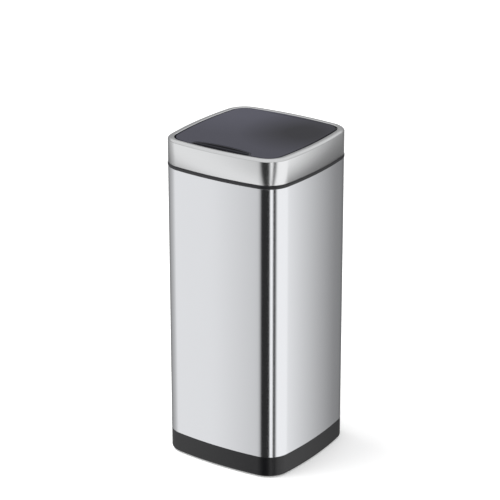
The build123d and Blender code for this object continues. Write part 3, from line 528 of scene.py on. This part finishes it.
def node_islands(node):
    """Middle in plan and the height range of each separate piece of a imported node."""
    bm = bmesh.new()
    bm.from_mesh(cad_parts[node].data)
    bmesh.ops.remove_doubles(bm, verts=bm.verts, dist=MERGE_DISTANCE)
    seen, islands = set(), []
    for vertex in bm.verts:
        if vertex in seen:
            continue
        group, edge = [], [vertex]
        seen.add(vertex)
        while edge:
            here = edge.pop()
            group.append(here.co.copy())
            for link in here.link_edges:
                there = link.other_vert(here)
                if there not in seen:
                    seen.add(there)
                    edge.append(there)
        xs, ys, zs = zip(*group)
        islands.append(((min(xs) + max(xs)) / 2, (min(ys) + max(ys)) / 2, min(zs), max(zs)))
    bm.free()
    return islands


def lathe(name, profile, sides=48):
    """A turned piece about the Z axis, from (radius, height) points."""
    mesh = bpy.data.meshes.new(name)
    bm = bmesh.new()
    turns = [math.tau * k / sides for k in range(sides)]
    rows = [[bm.verts.new((radius * math.cos(turn), radius * math.sin(turn), z)) for turn in turns]
            for radius, z in profile]
    for low, high in zip(rows, rows[1:]):
        for k in range(sides):
            following = (k + 1) % sides
            bm.faces.new((low[k], low[following], high[following], high[k]))
    bm.faces.new(rows[-1])
    bm.faces.new(list(reversed(rows[0])))
    bmesh.ops.recalc_face_normals(bm, faces=bm.faces)
    bm.to_mesh(mesh)
    bm.free()
    thing = bpy.data.objects.new(name, mesh)
    bpy.context.collection.objects.link(thing)
    return thing


def cut(thing, tool):
    """Cuts a tool, whose parts may cross one another, out of a piece and leaves a plain mesh."""
    modifier = thing.modifiers.new("cut", "BOOLEAN")
    modifier.operation = "DIFFERENCE"
    modifier.solver = "EXACT"
    modifier.use_self = True
    modifier.object = tool
    bpy.context.view_layer.update()
    mesh = bpy.data.meshes.new_from_object(thing.evaluated_get(bpy.context.evaluated_depsgraph_get()))
    thing.modifiers.clear()
    thing.data = mesh
    bpy.data.objects.remove(tool)


def cross_recess():
    """A tapered cross for a screw's driver."""
    bm = bmesh.new()
    half_width, half_length = RECESS_WIDTH / 2, RECESS_LENGTH / 2
    for half_x, half_y in ((half_width, half_length), (half_length, half_width)):
        made = bmesh.ops.create_cube(bm, size=1)["verts"]
        for vertex in made:
            deep, height = (RECESS_TAPER, RECESS_BOTTOM) if vertex.co.z < 0 else (1.0, RECESS_TOP)
            vertex.co = (math.copysign(half_x * deep, vertex.co.x),
                         math.copysign(half_y * deep, vertex.co.y), height)
    mesh = bpy.data.meshes.new("recess")
    bm.to_mesh(mesh)
    bm.free()
    thing = bpy.data.objects.new("recess", mesh)
    bpy.context.collection.objects.link(thing)
    return thing


def make_screws(steel):
    """Pan-head screws with a cross recess, each driven home at its own angle."""
    islands = node_islands("cover_screws")
    length = islands[0][3] - islands[0][2]
    radius, shank, head = SCREW_HEAD_RADIUS, SCREW_SHANK_RADIUS, SCREW_HEAD_HEIGHT
    profile = [(shank * 0.6, -length), (shank, -length + SCREW_TIP), (shank, -head), (radius, -head),
               (radius, -head * 0.5), (radius * 0.9, -head * 0.2), (radius * 0.68, -0.00003),
               (radius * 0.4, 0)]
    screw = lathe("screw", profile)
    cut(screw, cross_recess())
    screw.data.shade_smooth()
    set_sharp(screw)
    places = [(x, y, top) for x, y, low, top in islands]
    screws = repeat_on_points("bay_screws", places, screw, steel, math.pi / 2, SCREW_SEED)
    dress(screws, steel, "head", "cover_screws")


def finish_frame_nodes(finishes):
    """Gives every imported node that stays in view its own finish."""
    for node, material in finishes.items():
        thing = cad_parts[node]
        thing.data.materials.clear()
        thing.data.materials.append(material)


def direction_light(tree, stops):
    """Colour that depends on the compass direction, and the height of the direction."""
    coordinates = tree.nodes.new("ShaderNodeTexCoord")
    split = tree.nodes.new("ShaderNodeSeparateXYZ")
    tree.links.new(coordinates.outputs["Generated"], split.inputs[0])
    x, y = Wire(tree, split.outputs[0]), Wire(tree, split.outputs[1])
    turn = x.maths("ARCTAN2", y * -1.0)
    place = turn * (0.5 / math.pi) + 0.5
    ramp = tree.nodes.new("ShaderNodeValToRGB")
    tree.links.new(place.socket, ramp.inputs[0])
    set_stops(ramp.color_ramp, [((azimuth + 180) / 360, level) for azimuth, level in stops])
    return ramp.outputs[0], Wire(tree, split.outputs[2])


# Brightness of the studio ceiling against the height of the direction, horizon to straight up
CEILING = ((0.0, 0.34), (0.40, 0.34), (0.52, 0.80), (1.0, 0.75))


def make_world():
    """Soft studio round the bin. The camera sees plain white behind it."""
    world = bpy.data.worlds.new("studio")
    bpy.context.scene.world = world
    world.use_nodes = True
    tree = world.node_tree
    background = tree.nodes["Background"]
    stops = ((-180, 0.20), (-150, 0.38), (-115, 0.26), (-75, 0.60), (-56, 0.93), (-36, 0.92), (-19, 0.70),
             (-9, 0.52), (0, 0.03), (36, 0.03), (40, 1.12), (51, 1.12), (54, 0.06), (63, 0.08), (73, 1.08),
             (128, 1.06), (137, 0.80), (147, 0.55), (159, 0.28), (180, 0.16))
    colour, up = direction_light(tree, stops)
    overhead = tree.nodes.new("ShaderNodeMix")
    overhead.data_type = "RGBA"
    share = up.maths("SUBTRACT", 0.12).maths("MULTIPLY", 8.0).maths("MINIMUM", 1.0).maths("MAXIMUM", 0.0)
    tree.links.new(share.socket, overhead.inputs[0])
    tree.links.new(colour, overhead.inputs[6])
    ceiling = tree.nodes.new("ShaderNodeValToRGB")
    set_stops(ceiling.color_ramp, CEILING)
    tree.links.new(up.socket, ceiling.inputs[0])
    tree.links.new(ceiling.outputs[0], overhead.inputs[7])
    path = tree.nodes.new("ShaderNodeLightPath")
    shown = tree.nodes.new("ShaderNodeMix")
    shown.data_type = "RGBA"
    tree.links.new(path.outputs["Is Camera Ray"], shown.inputs[0])
    tree.links.new(overhead.outputs[2], shown.inputs[6])
    shown.inputs[7].default_value = (1, 1, 1, 1)
    tree.links.new(shown.outputs[2], background.inputs[0])


def make_floor():
    """Plain pale floor that keeps the bin's soft shadow."""
    bpy.ops.mesh.primitive_plane_add(size=12, location=(0, 0, 0))
    floor = bpy.context.object
    floor.name = "floor"
    material = bpy.data.materials.new("floor_paint")
    material.use_nodes = True
    tree = material.node_tree
    shader = tree.nodes["Principled BSDF"]
    shader.inputs["Base Color"].default_value = (0.93, 0.93, 0.93, 1)
    shader.inputs["Roughness"].default_value = 0.9
    shader.inputs["Emission Color"].default_value = (1, 1, 1, 1)
    path = Wire(tree, tree.nodes.new("ShaderNodeLightPath").outputs["Is Camera Ray"])
    tree.links.new((path * 0.35).socket, shader.inputs["Emission Strength"])
    clear = tree.nodes.new("ShaderNodeBsdfTransparent")
    mix = tree.nodes.new("ShaderNodeMixShader")
    glossy = tree.nodes.new("ShaderNodeLightPath").outputs["Is Glossy Ray"]
    tree.links.new(glossy, mix.inputs[0])
    tree.links.new(shader.outputs[0], mix.inputs[1])
    tree.links.new(clear.outputs[0], mix.inputs[2])
    tree.links.new(mix.outputs[0], tree.nodes["Material Output"].inputs[0])
    floor.data.materials.append(material)


def make_lamp(name, place, size, watts, target=(0, 0, 0.3)):
    data = bpy.data.lights.new(name, "AREA")
    data.shape = "DISK"
    data.size = size
    data.energy = watts
    lamp = bpy.data.objects.new(name, data)
    bpy.context.collection.objects.link(lamp)
    lamp.location = place
    lamp.rotation_euler = (Vector(target) - Vector(place)).to_track_quat("-Z", "Y").to_euler()
    lamp.visible_glossy = False


def main():
    bpy.context.scene.view_settings.view_transform = "Standard"
    make_camera()
    make_world()
    make_floor()
    make_lamp("top_lamp", (-1.2, -0.6, 3.2), 2.4, 95)
    body_steel = hairline_steel("body_steel", (0.795, 0.805, 0.83), 0.14)
    head_steel = hairline_steel("head_steel", (0.80, 0.806, 0.815), 0.21)
    black_moulded = moulded_plastic("base_plastic", (0.006, 0.006, 0.008), 0.30)
    collar_satin = moulded_plastic("collar_plastic", (0.014, 0.014, 0.017), 0.28, depth=0.00001)
    frame_plastic = moulded_plastic("frame_plastic", (0.040, 0.040, 0.045), 0.45)
    # The lid plastic carries painted shade and a painted sheen in its colour, paler colour first
    flap_plastic_painted_shade = lid_plastic_painted_shade("flap_plastic", (0.050, 0.050, 0.070), (0.004, 0.004, 0.008), 0.30)
    liner_plastic = moulded_plastic("liner_plastic", (0.055, 0.055, 0.065), 0.5)
    bucket_grey = moulded_plastic("bucket_plastic", (0.10, 0.10, 0.105), 0.48, 1400.0, 0.00008)
    acetal = moulded_plastic("gear_plastic", (0.80, 0.79, 0.73), 0.35, 2000.0, 0.00001, 0.2)
    switch_gloss = gloss_plastic("switch_plastic", (0.012, 0.012, 0.013), 0.18)
    pod_gloss = gloss_plastic("pod_plastic", (0.008, 0.008, 0.010), 0.22)
    window_gloss = tinted_window("window_gloss")
    foot_rubber = moulded_plastic("foot_rubber", (0.015, 0.015, 0.015), 0.85, 900.0, 0.0001, 0.1)
    screw_steel = bright_metal("screw_steel", (0.62, 0.62, 0.61), 0.25)
    motor_steel = bright_metal("motor_steel", (0.60, 0.60, 0.62), 0.30)
    pinion_brass = bright_metal("pinion_brass", (0.78, 0.60, 0.28), 0.24)
    wire_chrome = bright_metal("handle_wire", (0.72, 0.72, 0.74), 0.12, 120.0)
    board_green = circuit_green("board_green")
    jackets = cell_jacket("cell_jacket")
    make_sleeve(body_steel)
    make_collar(collar_satin)
    make_head(head_steel)
    make_screws(screw_steel)
    finish_frame_nodes({
        "base_tray": black_moulded, "rubber_feet": foot_rubber, "inner_bucket": bucket_grey,
        "bucket_handle": wire_chrome, "head_frame": frame_plastic, "rear_strip": flap_plastic_painted_shade,
        "bay_cover": frame_plastic, "flap_skin": flap_plastic_painted_shade,
        "flap_liner": liner_plastic, "hinge_pins": screw_steel, "sector_gear": acetal,
        "second_gear": acetal, "first_gear": acetal, "motor_pinion": pinion_brass,
        "gear_bracket": frame_plastic, "gear_side_plate": frame_plastic, "drive_motor": motor_steel,
        "circuit_board": board_green, "battery_box": frame_plastic, "battery_cells": jackets,
        "battery_contacts": screw_steel, "battery_door": frame_plastic, "switch_body": switch_gloss,
        "switch_rocker": switch_gloss, "sensor_housing": pod_gloss, "sensor_window": window_gloss,
        "sensor_board": board_green})


main()
